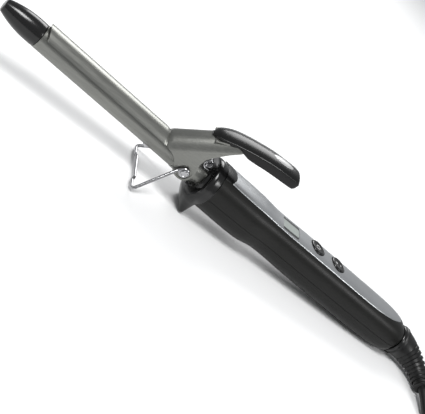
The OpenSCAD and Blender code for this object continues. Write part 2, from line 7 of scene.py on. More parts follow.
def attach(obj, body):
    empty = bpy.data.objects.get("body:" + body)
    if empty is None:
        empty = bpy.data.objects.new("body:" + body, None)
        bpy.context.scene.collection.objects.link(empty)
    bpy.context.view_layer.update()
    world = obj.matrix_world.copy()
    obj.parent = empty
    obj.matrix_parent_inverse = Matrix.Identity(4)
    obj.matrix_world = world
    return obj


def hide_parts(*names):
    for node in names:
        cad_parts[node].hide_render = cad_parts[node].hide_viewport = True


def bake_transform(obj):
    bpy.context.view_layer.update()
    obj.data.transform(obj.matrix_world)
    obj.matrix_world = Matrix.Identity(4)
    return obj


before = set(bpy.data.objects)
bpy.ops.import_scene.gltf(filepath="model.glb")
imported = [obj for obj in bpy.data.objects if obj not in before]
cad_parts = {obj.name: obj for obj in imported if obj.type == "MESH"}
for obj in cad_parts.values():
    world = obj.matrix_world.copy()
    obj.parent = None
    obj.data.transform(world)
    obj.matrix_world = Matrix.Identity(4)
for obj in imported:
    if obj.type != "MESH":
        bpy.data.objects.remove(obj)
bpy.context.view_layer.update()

mm = 0.001

# the iron is drawn in its own frame (x from the clamp's pivot along the barrel) and then tipped
restTilt = math.radians(4.957835)
restLift, restShift = 26.03716, 30.884016
tipping = (Matrix.Translation((-restShift * mm, 0, restLift * mm)) @ Matrix.Rotation(restTilt, 4, "Y")
           @ Matrix.Scale(mm, 4))
tabletop = Matrix.Scale(mm, 4)


def turnVector(v):
    return (tipping.to_3x3() @ Vector(v)).normalized()


# camera: angles in degrees; the aim is a point along the iron's axis
cameraSize = {"elevation": 27, "heading": 25, "roll": 40.765, "distance": 619, "aim": -253.832,
              "drop": 10.136, "lens": 89.4}
elevation, heading, roll = (math.radians(cameraSize[k]) for k in ("elevation", "heading", "roll"))
away = Vector((0, -math.cos(elevation), math.sin(elevation)))
lift = Vector((0, math.sin(elevation), math.cos(elevation)))
eye = Vector((cameraSize["aim"], 0, 0)) + cameraSize["distance"] * away - cameraSize["drop"] * lift
look = math.cos(heading) * -away + math.sin(heading) * Vector((1, 0, 0))
side = math.cos(heading) * Vector((1, 0, 0)) + math.sin(heading) * away
right = math.cos(roll) * side + math.sin(roll) * lift
up = math.cos(roll) * lift - math.sin(roll) * side
camera = bpy.data.objects.new("camera", bpy.data.cameras.new("camera"))
bpy.context.scene.collection.objects.link(camera)
camera.data.lens = cameraSize["lens"]
camera.data.sensor_width = 36
camera.data.clip_start = 0.01
turn = Matrix([turnVector(right), turnVector(up), turnVector(-look)]).transposed().to_4x4()
camera.matrix_world = Matrix.Translation(tipping @ eye) @ turn
bpy.context.scene.camera = camera
print("camera set")


# shader maths
class Wire:
    # a shader output that can be added, scaled and mixed
    def __init__(self, tree, socket):
        self.tree, self.socket = tree, socket

    def make(self, kind, inputs=(), output=0, **options):
        node = self.tree.nodes.new(kind)
        for name, value in options.items():
            setattr(node, name, value)
        for key, value in dict(inputs).items():
            if isinstance(value, Wire):
                self.tree.links.new(value.socket, node.inputs[key])
            else:
                node.inputs[key].default_value = value
        return Wire(self.tree, node.outputs[output])

    def sum(self, kind, other, swap=False):
        first, second = (other, self) if swap else (self, other)
        return self.make("ShaderNodeMath", {0: first, 1: second}, operation=kind)

    def __add__(self, other):
        return self.sum("ADD", other)

    def __radd__(self, other):
        return self.sum("ADD", other, True)

    def __sub__(self, other):
        return self.sum("SUBTRACT", other)

    def __rsub__(self, other):
        return self.sum("SUBTRACT", other, True)

    def __mul__(self, other):
        return self.sum("MULTIPLY", other)

    def __rmul__(self, other):
        return self.sum("MULTIPLY", other, True)

    def clamp(self, low, high, start=0.0, end=1.0):
        return self.make("ShaderNodeMapRange", {0: self, 1: low, 2: high, 3: start, 4: end})

    def colour(self, dark, light):
        return self.make("ShaderNodeMix", {0: self, 6: (*dark, 1), 7: (*light, 1)}, 2, data_type="RGBA")


def material(name, base, build=None, **values):
    mat = bpy.data.materials.new(name)
    mat.use_nodes = True
    tree = mat.node_tree
    shader = tree.nodes["Principled BSDF"]
    shader.inputs["Base Color"].default_value = (*base, 1)
    for key, value in values.items():
        shader.inputs[key.replace("_", " ")].default_value = value
    if build:
        coords = tree.nodes.new("ShaderNodeTexCoord")
        here = Wire(tree, coords.outputs["Object"])
        for key, value in build(here).items():
            tree.links.new(value.socket, shader.inputs[key])
    return mat


def noise(here, scale, stretch=(1, 1, 1), detail=4.0):
    spot = here.make("ShaderNodeMapping", {0: here, 3: stretch})
    return here.make("ShaderNodeTexNoise", {"Vector": spot, "Scale": scale, "Detail": detail})


def bump(height, strength, distance=0.0002):
    return height.make("ShaderNodeBump", {"Height": height, "Strength": strength, "Distance": distance})


def satinGrain(dark, light, rough, grain=0.25):
    def build(here):
        fine = noise(here, 2600, detail=2.0)
        broad = noise(here, 45)
        wear = noise(here, 400, (1, 1, 1), 6.0)
        return {"Base Color": broad.colour(dark, light),
                "Roughness": rough + 0.10 * (broad - 0.5) + 0.08 * (wear - 0.5),
                "Normal": bump(fine, grain, 0.00006)}
    return build


def glossSkin(dark, light, rough):
    def build(here):
        broad = noise(here, 60)
        dust = noise(here, 1500, (1, 1, 1), 8.0).clamp(0.62, 0.8)
        return {"Base Color": (0.5 * broad + 0.25 * dust).colour(dark, light),
                "Roughness": rough + 0.08 * (broad - 0.5) + 0.16 * dust,
                "Normal": bump(broad, 0.12, 0.0002)}
    return build


def brushed(dark, light, rough, stretch, grain=0.18):
    def build(here):
        lines = noise(here, 420, stretch, 3.0)
        broad = noise(here, 30)
        return {"Base Color": (0.6 * lines + 0.4 * broad).colour(dark, light),
                "Roughness": rough + 0.16 * (lines - 0.5) + 0.08 * (broad - 0.5),
                "Normal": bump(lines, grain, 0.00005)}
    return build


finish = {
    "titanium": material("titanium coat", (0.2, 0.2, 0.185), brushed(
        (0.15, 0.152, 0.14), (0.27, 0.272, 0.255), 0.34, (0.12, 3, 3)), Metallic=0.9),
    "steel": material("polished steel", (0.7, 0.7, 0.7), brushed(
        (0.30, 0.30, 0.31), (0.55, 0.55, 0.56), 0.17, (0.4, 2, 2), 0.08), Metallic=1.0),
    "glossBlack": material("gloss black plastic", (0.012, 0.012, 0.012), glossSkin(
        (0.003, 0.003, 0.003), (0.009, 0.009, 0.009), 0.2),
        Coat_Weight=0.1, Coat_Roughness=0.1, Specular_IOR_Level=0.4),
    "satinBlack": material("satin black plastic", (0.03, 0.03, 0.03), satinGrain(
        (0.007, 0.007, 0.0065), (0.012, 0.012, 0.011), 0.38), Specular_IOR_Level=0.22),
    "restBlack": material("thumb rest plastic", (0.02, 0.02, 0.02), satinGrain(
        (0.003, 0.003, 0.003), (0.007, 0.007, 0.007), 0.24, 0.3), Specular_IOR_Level=0.25),
    "silver": material("silver paint", (0.6, 0.61, 0.62), satinGrain(
        (0.34, 0.35, 0.36), (0.42, 0.43, 0.44), 0.32, 0.12), Metallic=0.75, Coat_Weight=0.2),
    "rubber": material("black rubber", (0.02, 0.02, 0.02), satinGrain(
        (0.004, 0.004, 0.004), (0.009, 0.009, 0.009), 0.36, 0.4), Specular_IOR_Level=0.35),
    "inlay": material("grey inlay", (0.4, 0.4, 0.4), satinGrain(
        (0.36, 0.36, 0.36), (0.46, 0.46, 0.46), 0.34, 0.4), Metallic=0.3),
    "nickel": material("nickel", (0.7, 0.68, 0.64), brushed(
        (0.62, 0.61, 0.58), (0.78, 0.77, 0.74), 0.22, (0.4, 2, 2), 0.08), Metallic=1.0),
    "mark": material("print", (0.7, 0.7, 0.7), satinGrain(
        (0.66, 0.66, 0.66), (0.78, 0.78, 0.78), 0.45, 0.1)),
    # near-black finish for the guard's vents: painted shade standing in for the openings, which are not cut
    "well": material("painted vent shade", (0.004, 0.004, 0.004), satinGrain(
        (0.003, 0.003, 0.003), (0.006, 0.006, 0.006), 0.7, 0.2))}


glassSize = {"middle": -0.002, "bandStart": 0.0036, "bandEnd": 0.0041}


def glassFace(here):
    # pale face with dark bands along its long edges
    g = glassSize
    across = here.make("ShaderNodeSeparateXYZ", {0: here}, 1)
    middle = across.make("ShaderNodeMath", {0: across - g["middle"]}, operation="ABSOLUTE")
    band = middle.clamp(g["bandStart"], g["bandEnd"])
    cloud = noise(here, 90)
    pale, dark = (0.30, 0.33, 0.31), (0.02, 0.02, 0.02)
    return {"Base Color": (band * 0.92 + 0.08 * cloud).colour(pale, dark),
            "Roughness": 0.12 + 0.06 * cloud}


finish["display"] = material("display", (0.3, 0.33, 0.31), glassFace, Coat_Weight=1.0, Coat_Roughness=0.03)
print("finishes made")


# mesh helpers
def piece(name, points, faces, finishName, body, place=tipping, smooth=True, stands=()):
    mesh = bpy.data.meshes.new(name)
    mesh.from_pydata([place @ Vector(p) for p in points], [], faces)
    work = bmesh.new()
    work.from_mesh(mesh)
    bmesh.ops.remove_doubles(work, verts=work.verts, dist=1e-7)
    bmesh.ops.recalc_face_normals(work, faces=work.faces)
    work.to_mesh(mesh)
    work.free()
    mesh.update()
    obj = bpy.data.objects.new(name.replace(" ", "-"), mesh)
    bpy.context.scene.collection.objects.link(obj)
    mesh.materials.append(finish[finishName])
    if smooth:
        shade(obj)
    if body:
        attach(obj, body)
    if stands:
        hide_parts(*stands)
    return obj


def shade(obj, angle=38):
    obj.data.shade_smooth()
    work = bmesh.new()
    work.from_mesh(obj.data)
    for edge in work.edges:
        edge.smooth = len(edge.link_faces) != 2 or edge.calc_face_angle(0) < math.radians(angle)
    work.to_mesh(obj.data)
    work.free()


def apply(obj):
    graph = bpy.context.evaluated_depsgraph_get()
    mesh = bpy.data.meshes.new_from_object(obj.evaluated_get(graph), depsgraph=graph)
    obj.modifiers.clear()
    obj.data = mesh


def skin(rings, closed=False, caps=True):
    n, m = len(rings[0]), len(rings)
    points = [p for ring in rings for p in ring]
    faces = [(i * n + k, (i + 1) % m * n + k, (i + 1) % m * n + (k + 1) % n, i * n + (k + 1) % n)
             for i in range(m if closed else m - 1) for k in range(n)]
    if caps and not closed:
        for i in (0, m - 1):
            middle = sum((Vector(p) for p in rings[i]), Vector()) / n
            points.append(middle)
            faces += [(i * n + k, i * n + (k + 1) % n, len(points) - 1) for k in range(n)]
    return points, faces


def lathe(outline, count=96, centre=(0, 0)):
    # an outline of (x, radius) turned about X; one that ends where it starts makes a ring
    rings = []
    for x, r in outline:
        rings.append([Vector((x, centre[0] + r * math.cos(a), centre[1] + r * math.sin(a)))
                      for a in (2 * math.pi * k / count for k in range(count))])
    return skin(rings, closed=outline[0] == outline[-1])


def rounded(points, radius, steps=5):
    # an outline with every corner between its ends rounded off
    out = [points[0]]
    for before, at, after in zip(points, points[1:], points[2:]):
        b, a, c = Vector(before), Vector(at), Vector(after)
        cut = min(radius, (b - a).length * 0.45, (c - a).length * 0.45)
        start, end = a + (b - a).normalized() * cut, a + (c - a).normalized() * cut
        for i in range(steps + 1):
            u = i / steps
            out.append(tuple((1 - u) ** 2 * start + 2 * u * (1 - u) * a + u * u * end))
    return out + [points[-1]]


def smoothLine(points, count):
    # points along a smooth line through the ones given, evenly spread
    path = [Vector(p) for p in points]
    path = [2 * path[0] - path[1]] + path + [2 * path[-1] - path[-2]]
    fine = []
    for a, b, c, d in zip(path, path[1:], path[2:], path[3:]):
        for i in range(12):
            u = i / 12
            fine.append(0.5 * (2 * b + (c - a) * u + (2 * a - 5 * b + 4 * c - d) * u * u
                               + (3 * b - a - 3 * c + d) * u ** 3))
    fine.append(path[-2])
    total = [0]
    for a, b in zip(fine, fine[1:]):
        total.append(total[-1] + (b - a).length)
    out, i = [], 0
    for k in range(count):
        s = total[-1] * k / (count - 1)
        while i < len(total) - 2 and total[i + 1] < s:
            i += 1
        out.append(fine[i].lerp(fine[i + 1], (s - total[i]) / max(total[i + 1] - total[i], 1e-9)))
    return out


def sweep(path, radii, count=24):
    rings, carried = [], None
    for i, p in enumerate(path):
        along = (path[min(i + 1, len(path) - 1)] - path[max(i - 1, 0)]).normalized()
        if carried is None:
            carried = along.cross(Vector((0, 0, 1)) if abs(along.z) < 0.9 else Vector((1, 0, 0)))
        carried = (carried - carried.dot(along) * along).normalized()
        other = along.cross(carried)
        r = radii[i] if isinstance(radii, list) else radii
        rings.append([p + r * (math.cos(a) * carried + math.sin(a) * other)
                      for a in (2 * math.pi * k / count for k in range(count))])
    return skin(rings)


def tool(points, faces, place=tipping):
    mesh = bpy.data.meshes.new("tool")
    mesh.from_pydata([place @ Vector(p) for p in points], [], faces)
    work = bmesh.new()
    work.from_mesh(mesh)
    bmesh.ops.recalc_face_normals(work, faces=work.faces)
    work.to_mesh(mesh)
    work.free()
    return bpy.data.objects.new("tool", mesh)


def combine(obj, other, kind):
    bpy.context.scene.collection.objects.link(other)
    change = obj.modifiers.new("change", "BOOLEAN")
    change.operation, change.object, change.solver = kind, other, "EXACT"
    apply(obj)
    bpy.data.objects.remove(other)


def setOut(name, shape, spots, finishName, body, place=tipping, stands=()):
    # geometry nodes put a copy of the shape on every spot (point, aim, size), its Z along the aim
    tree = bpy.data.node_groups.new(name, "GeometryNodeTree")
    sockets = {}
    for label, kind, way in (("Spots", "Geometry", "INPUT"), ("Shape", "Object", "INPUT"),
                             ("Finish", "Material", "INPUT"), ("Made", "Geometry", "OUTPUT")):
        made = tree.interface.new_socket(label, in_out=way, socket_type="NodeSocket" + kind)
        sockets[label] = made.identifier
    start, end = tree.nodes.new("NodeGroupInput"), tree.nodes.new("NodeGroupOutput")
    shapeNode = tree.nodes.new("GeometryNodeObjectInfo")
    copies = tree.nodes.new("GeometryNodeInstanceOnPoints")
    aim = tree.nodes.new("GeometryNodeInputNamedAttribute")
    aim.data_type, aim.inputs["Name"].default_value = "FLOAT_VECTOR", "aim"
    size = tree.nodes.new("GeometryNodeInputNamedAttribute")
    size.data_type, size.inputs["Name"].default_value = "FLOAT", "size"
    turning = tree.nodes.new("FunctionNodeAlignRotationToVector")
    turning.axis = "Z"
    real = tree.nodes.new("GeometryNodeRealizeInstances")
    paint = tree.nodes.new("GeometryNodeSetMaterial")
    for source, target in ((start.outputs["Spots"], copies.inputs["Points"]),
                           (start.outputs["Shape"], shapeNode.inputs["Object"]),
                           (shapeNode.outputs["Geometry"], copies.inputs["Instance"]),
                           (aim.outputs[0], turning.inputs["Vector"]),
                           (turning.outputs[0], copies.inputs["Rotation"]),
                           (size.outputs[0], copies.inputs["Scale"]),
                           (copies.outputs[0], real.inputs[0]),
                           (real.outputs[0], paint.inputs["Geometry"]),
                           (start.outputs["Finish"], paint.inputs["Material"]),
                           (paint.outputs[0], end.inputs[0])):
        tree.links.new(source, target)
    mesh = bpy.data.meshes.new(name)
    mesh.from_pydata([Vector(at) * mm for at, way, grow in spots], [], [])
    mesh.attributes.new("aim", "FLOAT_VECTOR", "POINT")
    mesh.attributes.new("size", "FLOAT", "POINT")
    for i, (at, way, grow) in enumerate(spots):
        mesh.attributes["aim"].data[i].vector = Vector(way).normalized()
        mesh.attributes["size"].data[i].value = grow
    obj = bpy.data.objects.new(name, mesh)
    bpy.context.scene.collection.objects.link(obj)
    spread = obj.modifiers.new("spread", "NODES")
    spread.node_group = tree
    spread[sockets["Shape"]] = shape
    spread[sockets["Finish"]] = finish[finishName]
    apply(obj)
    bpy.data.objects.remove(shape)
    for label in ("aim", "size"):
        if label in obj.data.attributes:
            obj.data.attributes.remove(obj.data.attributes[label])
    obj.data.transform(place @ tabletop.inverted())
    shade(obj, 30)
    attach(obj, body)
    if stands:
        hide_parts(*stands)
    print(name, len(spots), "copies")
    return obj


def slabBetween(outline, low, high):
    n = len(outline)
    points = [(x, y, z) for y in (low, high) for x, z in outline]
    faces = [tuple(range(n)), tuple(range(2 * n - 1, n - 1, -1))]
    faces += [(k, k + n, (k + 1) % n + n, (k + 1) % n) for k in range(n)]
    return points, faces


# cord: a lead, two wound layers and a tail
cordSize = {"length": 1.8, "radius": 2.95, "centre": (262, -46), "outer": 43.5, "inner": 18, "turns": 4,
            "low": 3, "layer": 6.05}
leadRoute = [(207.4, -20, 7.6), (208.3, -27, 6.9), (209.2, -33, 6.2), (210, -39, 5.2), (210.8, -46, 4.1),
             (211.6, -53, 3.3), (213, -61, 3), (216.5, -69, 3), (222, -76, 3), (228.5, -81.5, 3),
             (236, -85.4, 3), (244, -87.8, 3), (253, -89.2, 3)]
tailRoute = [(219, -54, 11), (222.5, -62, 13.4), (228, -69.4, 16), (236, -74.5, 18), (246, -76.6, 18.9),
             (256, -77, 18.9), (263, -77, 18.9)]


def woundRoute():
    c, route = cordSize, []
    # winds in on the table, steps up at the middle and winds out again, in degrees
    first, half, second = 360 * c["turns"], 180, 360 * c["turns"] + 90
    for a in range(10, first + half + second - 9, 10):
        if a <= first:
            r, z = c["outer"] + (c["inner"] - c["outer"]) * a / first, c["low"]
        elif a <= first + half:
            r, z = c["inner"], c["low"] + c["layer"] * (a - first) / half
        else:
            r = c["inner"] + (c["outer"] - c["inner"]) * (a - first - half) / second
            z = c["low"] + c["layer"]
        turned = math.radians(a - 90)
        route.append((c["centre"][0] + r * math.cos(turned), c["centre"][1] + r * math.sin(turned), z))
    return route


cordRoute = leadRoute + woundRoute() + tailRoute
cordPath = smoothLine(cordRoute, 1500)
cordLength = sum((b - a).length for a, b in zip(cordPath, cordPath[1:])) * mm
print("cord length", round(cordLength, 3))
curve = bpy.data.curves.new("mains cord", "CURVE")
curve.dimensions = "3D"
curve.bevel_depth = cordSize["radius"] * mm
curve.bevel_resolution = 3
curve.use_fill_caps = True
line = curve.splines.new("POLY")
line.points.add(len(cordPath) - 1)
for point, p in zip(line.points, cordPath):
    point.co = (*(p * mm), 1)
cord = bpy.data.objects.new("mains-cord", curve)
bpy.context.scene.collection.objects.link(cord)
curve.materials.append(finish["rubber"])
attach(cord, "cord_end")
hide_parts("mains_cord", "cord_coil", "cord_tail")

tieSize = {"turn": 40, "width": 8, "inner": 13.6, "outer": 47.6, "top": 13.2, "thick": 1.1}


def makeTie():
    t = tieSize
    angle = math.radians(t["turn"])
    path = [(t["inner"], 0.8), (t["inner"], t["top"]), (t["outer"], t["top"]), (t["outer"], 0.8)]
    path = rounded(path + [path[0], path[1]], 2.4, 4)[1:-1]
    rings = []
    for d, sideways in ((0, -1), (0, 1), (-t["thick"], 1), (-t["thick"], -1)):
        rings.append([])
        for r, z in path:
            inward = Vector(((t["inner"] + t["outer"]) / 2 - r, 7 - z)).normalized() * -d
            rr, zz, w = r + inward.x, z + inward.y, sideways * t["width"] / 2
            rings[-1].append((cordSize["centre"][0] + rr * math.cos(angle) - w * math.sin(angle),
                              cordSize["centre"][1] + rr * math.sin(angle) + w * math.cos(angle), zz))
    points, faces = skin(rings, closed=True)
    return piece("cord tie", points, faces, "rubber", "cord_end", tabletop, stands=["cord_tie"])


tie = makeTie()

# plug: two round pins in a flat oval body with a round neck
plugSize = {"x": 258, "y": -77, "z": 18.9, "pinRadius": 2, "pinStart": 31, "pinEnd": 53, "pinSpacing": 19}


def makePlug():
    s = plugSize
    stations = [(0, 3.6, 3.6), (0.6, 4.5, 4.5), (8.6, 4.8, 4.8), (9.4, 7, 5), (12, 11, 6), (16, 15, 6.6),
                (20, 17, 6.85), (31, 17.4, 6.9), (33.2, 17, 6.6), (34, 16, 5.8)]
    rings = []
    for x, w, h in stations:
        ring = []
        for k in range(64):
            a = 2 * math.pi * k / 64
            power = 2 if x < 9 else 2.7
            ring.append((s["x"] + x, s["y"] + w * math.copysign(abs(math.cos(a)) ** (2 / power), math.cos(a)),
                         s["z"] + h * math.copysign(abs(math.sin(a)) ** (2 / power), math.sin(a))))
        rings.append(ring)
    return piece("plug body", *skin(rings), "rubber", "cord_end", tabletop, stands=["plug_body"])


plug = makePlug()


def makePin(name, side):
    p = plugSize
    r, end = p["pinRadius"], p["x"] + p["pinEnd"]
    outline = rounded([(p["x"] + p["pinStart"], r), (end - 2, r), (end - 0.6, r - 0.3), (end, r - 1.1)], 0.6)
    centre = (p["y"] + side * p["pinSpacing"] / 2, p["z"])
    return piece(name, *lathe(outline, 40, centre), "nickel", "cord_end", tabletop)


pins = [makePin("plug pin 0", -1), makePin("plug pin 1", 1)]
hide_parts("plug_pins")
print("cord laid")

# handle: x, centre height, half height and half width
handleTable = [(22, 0.6, 15.7, 16.5), (58, 0.8, 15.6, 16.3), (74, 1.8, 14, 14.6), (105, 2.4, 14.4, 15),
               (150.34, 3.3, 14.5, 15.1), (185, 4.2, 14.2, 14.8), (198, 4.6, 13.4, 14),
               (205, 4.7, 11.8, 12.4), (208, 4.7, 9.8, 10.4)]
squareness = 2.7
handleEnd = {"from": 206.2, "length": 1.8, "drop": 0.6}
seam = {"front": -2, "slope": 1.75, "groove": 0.22, "depth": 0.35}


def tableAt(table, x, c):
    # column c of the table at x, along a smooth curve
    i = 0
    while i < len(table) - 2 and x > table[i + 1][0]:
        i += 1
    slope = lambda j: 0 if j <= 0 or j >= len(table) - 1 else (
        (table[j + 1][c] - table[j - 1][c]) / (table[j + 1][0] - table[j - 1][0]))
    h = table[i + 1][0] - table[i][0]
    u = min(1, max(0, (x - table[i][0]) / h))
    return (table[i][c] * (1 + 2 * u) * (1 - u) ** 2 + slope(i) * h * u * (1 - u) ** 2
            + table[i + 1][c] * u * u * (3 - 2 * u) + slope(i + 1) * h * u * u * (u - 1))


def outerZ(x, y):
    c, h, w = (tableAt(handleTable, x, k) for k in (1, 2, 3))
    return c + h * (1 - min(0.999, abs(y / w)) ** squareness) ** (1 / squareness)


def seamZ(x):
    return seam["front"] + x * math.tan(math.radians(seam["slope"]))


def handleRing(x, count=160):
    c, h, w = (tableAt(handleTable, x, k) for k in (1, 2, 3))
    if x > handleEnd["from"]:
        drop = handleEnd["drop"] * ((x - handleEnd["from"]) / handleEnd["length"]) ** 2
        h, w = h - drop, w - drop
    ring = []
    for k in range(count):
        a = 2 * math.pi * k / count
        y = w * math.copysign(abs(math.cos(a)) ** (2 / squareness), math.cos(a))
        z = c + h * math.copysign(abs(math.sin(a)) ** (2 / squareness), math.sin(a))
        ring.append((x, y, z))
    return ring


stations = [22 + i * 1.5 for i in range(121)] + [203 + 0.5 * i for i in range(11)]
handle = piece("handle shells", *skin([handleRing(x) for x in stations]), "satinBlack", "iron",
               stands=["handle_upper_shell", "handle_lower_shell"])
# fine groove between the shells
for sign in (-1, 1):
    groove = []
    for x in [22.2 + i * 2 for i in range(93)]:
        c, h, w = (tableAt(handleTable, x, k) for k in (1, 2, 3))
        z = seamZ(x)
        y = w * (1 - min(0.99, abs((z - c) / h)) ** squareness) ** (1 / squareness)
        inside = sign * (y - seam["depth"])
        groove.append([(x, sign * (y + 0.5), z), (x, inside, z + seam["groove"]),
                       (x, inside, z - seam["groove"])])
    combine(handle, tool(*skin(groove)), "DIFFERENCE")
shade(handle)
print("handle made")

# control panel: a silver cover with a pointed end and openings for the buttons and the window
# x and half width of the panel's outline
panelEdge = [(28, 9.6), (40, 10), (58, 9.9), (72, 9.2), (90, 9.6), (120, 9.9), (160, 9.9), (178, 9.2),
             (190, 7.2), (196, 4.6), (199.5, 2.2), (201, 0.3)]


def panelHalf(x):
    return max(0.2, tableAt(panelEdge, x, 1))


panelSize = {"lift": 0.4, "sink": 0.9, "rows": 260}


def makePanel():
    # the edges fall below the handle's face, so no seam shows
    rows, rings = panelSize["rows"], []
    front, rear = panelEdge[0][0], panelEdge[-1][0]
    steps = [-1, -0.985, -0.96] + [-0.9 + 0.1 * k for k in range(19)] + [0.96, 0.985, 1]
    drop = {0: 0.85, 1: 0.3, 2: 0.05, 22: 0.05, 23: 0.3, 24: 0.85}
    for i in range(rows):
        x = front + (rear - front) * i / (rows - 1)
        half = panelHalf(x)
        ends = 0.8 if i in (0, rows - 1) else 0.25 if i in (1, rows - 2) else 0
        top = [(x, half * s, outerZ(x, half * s) + panelSize["lift"] - max(ends, drop.get(k, 0)))
               for k, s in enumerate(steps)]
        low = [(x, half * s, outerZ(x, half * s) - panelSize["sink"]) for s in reversed(steps)]
        rings.append(top + low)
    obj = piece("control panel", *skin(rings, caps=False), "silver", "iron", smooth=False)
    work = bmesh.new()
    work.from_mesh(obj.data)
    bmesh.ops.holes_fill(work, edges=work.edges, sides=0)
    bmesh.ops.recalc_face_normals(work, faces=work.faces)
    work.to_mesh(obj.data)
    work.free()
    return obj


def disc(x, y, r, low, high, count=72):
    rings = [[(x + r * math.cos(2 * math.pi * k / count), y + r * math.sin(2 * math.pi * k / count), z)
              for k in range(count)] for z in (low, high)]
    return skin(rings)


def roundBox(x0, x1, y0, y1, z0, z1, r=1.4):
    ring = []
    corners = ((x1 - r, y1 - r, 0), (x0 + r, y1 - r, 90), (x0 + r, y0 + r, 180), (x1 - r, y0 + r, 270))
    for cx, cy, start in corners:
        for k in range(7):
            a = math.radians(start + 15 * k)
            ring.append((cx + r * math.cos(a), cy + r * math.sin(a)))
    return skin([[(x, y, z) for x, y in ring] for z in (z0, z1)])


# buttons: dished caps with plain raised marks
buttonSize = {"power": 110, "temperature": 130.5, "radius": 6.2, "gap": 0.3, "proud": 1.2,
              "dish": 0.34, "well": 4.2}
windowSize = {"front": 76.5, "rear": 91.5, "low": -8, "high": 4.4, "lap": 0.1, "lift": 0.08}


def topOfHandle(x):
    return tableAt(handleTable, x, 1) + tableAt(handleTable, x, 2)


panel = makePanel()
for x in (buttonSize["power"], buttonSize["temperature"]):
    wide = buttonSize["radius"] + buttonSize["gap"]
    combine(panel, tool(*disc(x, 0, wide + 0.05, 5, 30)), "DIFFERENCE")
    combine(handle, tool(*disc(x, 0, wide, topOfHandle(x) - buttonSize["well"], 30)), "DIFFERENCE")
w = windowSize
combine(panel, tool(*roundBox(w["front"], w["rear"], w["low"], w["high"], 5, 30)), "DIFFERENCE")
shade(handle)
shade(panel, 30)
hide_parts("control_panel")


def makeWindow():
    # a thin face lying just above the handle, in the panel's opening
    w, count, points = windowSize, 40, []
    lap = w["lap"]
    for i in range(count + 1):
        for j in range(count + 1):
            x = w["front"] - lap + (w["rear"] - w["front"] + 2 * lap) * i / count
            y = w["low"] - lap + (w["high"] - w["low"] + 2 * lap) * j / count
            points.append((x, y, outerZ(x, y) + w["lift"]))
    wide = count + 1
    faces = [(i * wide + j, (i + 1) * wide + j, (i + 1) * wide + j + 1, i * wide + j + 1)
             for i in range(count) for j in range(count)]
    return piece("display window", points, faces, "display", "iron", stands=["display_window"])


makeWindow()


def makeButton(name, x, body, node):
    top, r = topOfHandle(x) + buttonSize["proud"], buttonSize["radius"]
    outline = [(-3.9, r), (-1.1, r), (-0.55, r - 0.15), (-0.15, r - 0.6), (0, 4.9), (-0.08, 4.3), (-0.3, 3),
               (-0.4, 1.5), (-0.42, 0.05)]
    rings = [[(x + r * math.cos(2 * math.pi * k / 96), r * math.sin(2 * math.pi * k / 96), top + z)
              for k in range(96)] for z, r in outline]
    piece(name, *skin(rings), "glossBlack", body, stands=[node])
    return top - buttonSize["dish"]


def ringMark(name, x, z, inner, outer, body, start=0, end=360, tall=0.1):
    count, rings = 48, []
    for k in range(count + 1):
        a = math.radians(start + (end - start) * k / count)
        rings.append([(x + r * math.cos(a), r * math.sin(a), z + h)
                      for r, h in ((inner, 0), (outer, 0), (outer, tall), (inner, tall))])
    return piece(name, *skin(rings), "mark", body)


def barMark(name, x, y, z, long, wide, body, turned=False):
    a, b = (wide, long) if turned else (long, wide)
    return piece(name, *roundBox(x - a / 2, x + a / 2, y - b / 2, y + b / 2, z, z + 0.12, 0.15), "mark", body)


x = buttonSize["power"]
face = makeButton("power button", x, "power_key", "power_button") - 0.02
ringMark("power ring", x, face, 1.5, 1.85, "power_key", 40, 320)
barMark("power bar", x + 1.5, 0, face, 1.8, 0.36, "power_key")
x = buttonSize["temperature"]
face = makeButton("temperature button", x, "temperature_key", "temperature_button")
barMark("plus bar", x - 1.9, 0, face, 2.1, 0.36, "temperature_key", True)
barMark("plus cross", x - 1.9, 0, face, 2.1, 0.36, "temperature_key")
barMark("minus bar", x + 2.1, 0, face, 2.1, 0.36, "temperature_key", True)
print("controls made")

# barrel, tip and clamp
pivotSize = {"z": -0.5, "rivet": 1.5, "head": 2.6, "headFrom": 12.7, "pad": 4, "padEnd": 8.5}
barrelSize = {"radius": 8, "front": -122, "rear": 28, "wall": 0.8}
b = barrelSize
inside = b["radius"] - b["wall"]
barrelOutline = [(b["front"], inside), (b["front"] + 0.4, b["radius"]), (b["rear"], b["radius"]),
                 (b["rear"], inside), (b["front"], inside)]
piece("barrel", *lathe(barrelOutline, 128), "titanium", "iron", stands=["barrel_tube"])


tipSize = {"end": 3.6, "fall": 22, "shoulder": -127}


def tipOutline():
    r, end, fall, shoulder = barrelSize["radius"], tipSize["end"], tipSize["fall"], tipSize["shoulder"]
    arc = (fall ** 2 + (r - end - 0.5) ** 2) / (2 * (r - end - 0.5))
    body = []
    for i in range(1, 40):
        back = fall * i / 40
        body.append((shoulder - back, r - arc + math.sqrt(arc ** 2 - back ** 2)))
    plugEnd = [(-113, 6.6), (-121.7, 7.0), (-121.95, 7.4), (-122.2, 7.8), (-122.8, 8), (shoulder, 8)]
    return plugEnd + body + [(-148.6, 4.0), (-148.9, end), (-149, 3.0), (-148.95, 0.02)]


piece("cool tip", *lathe(tipOutline(), 128), "glossBlack", "iron", stands=["cool_tip"])

clampSize = {"inner": 9.3, "outer": 10.3, "bend": 23, "angle": math.radians(43), "tongue": -121,
             "tongueEnd": 6.5, "tongueHalf": 10.4, "roll": 3.2, "sag": 0.8}
# the ear's dish, its floor and its hole: y from, y to and radius
earSize = {"floor": (8.8, 9.8, 5.9), "dish": (9.8, 12, 5.2), "hole": (8, 12, 1.55)}
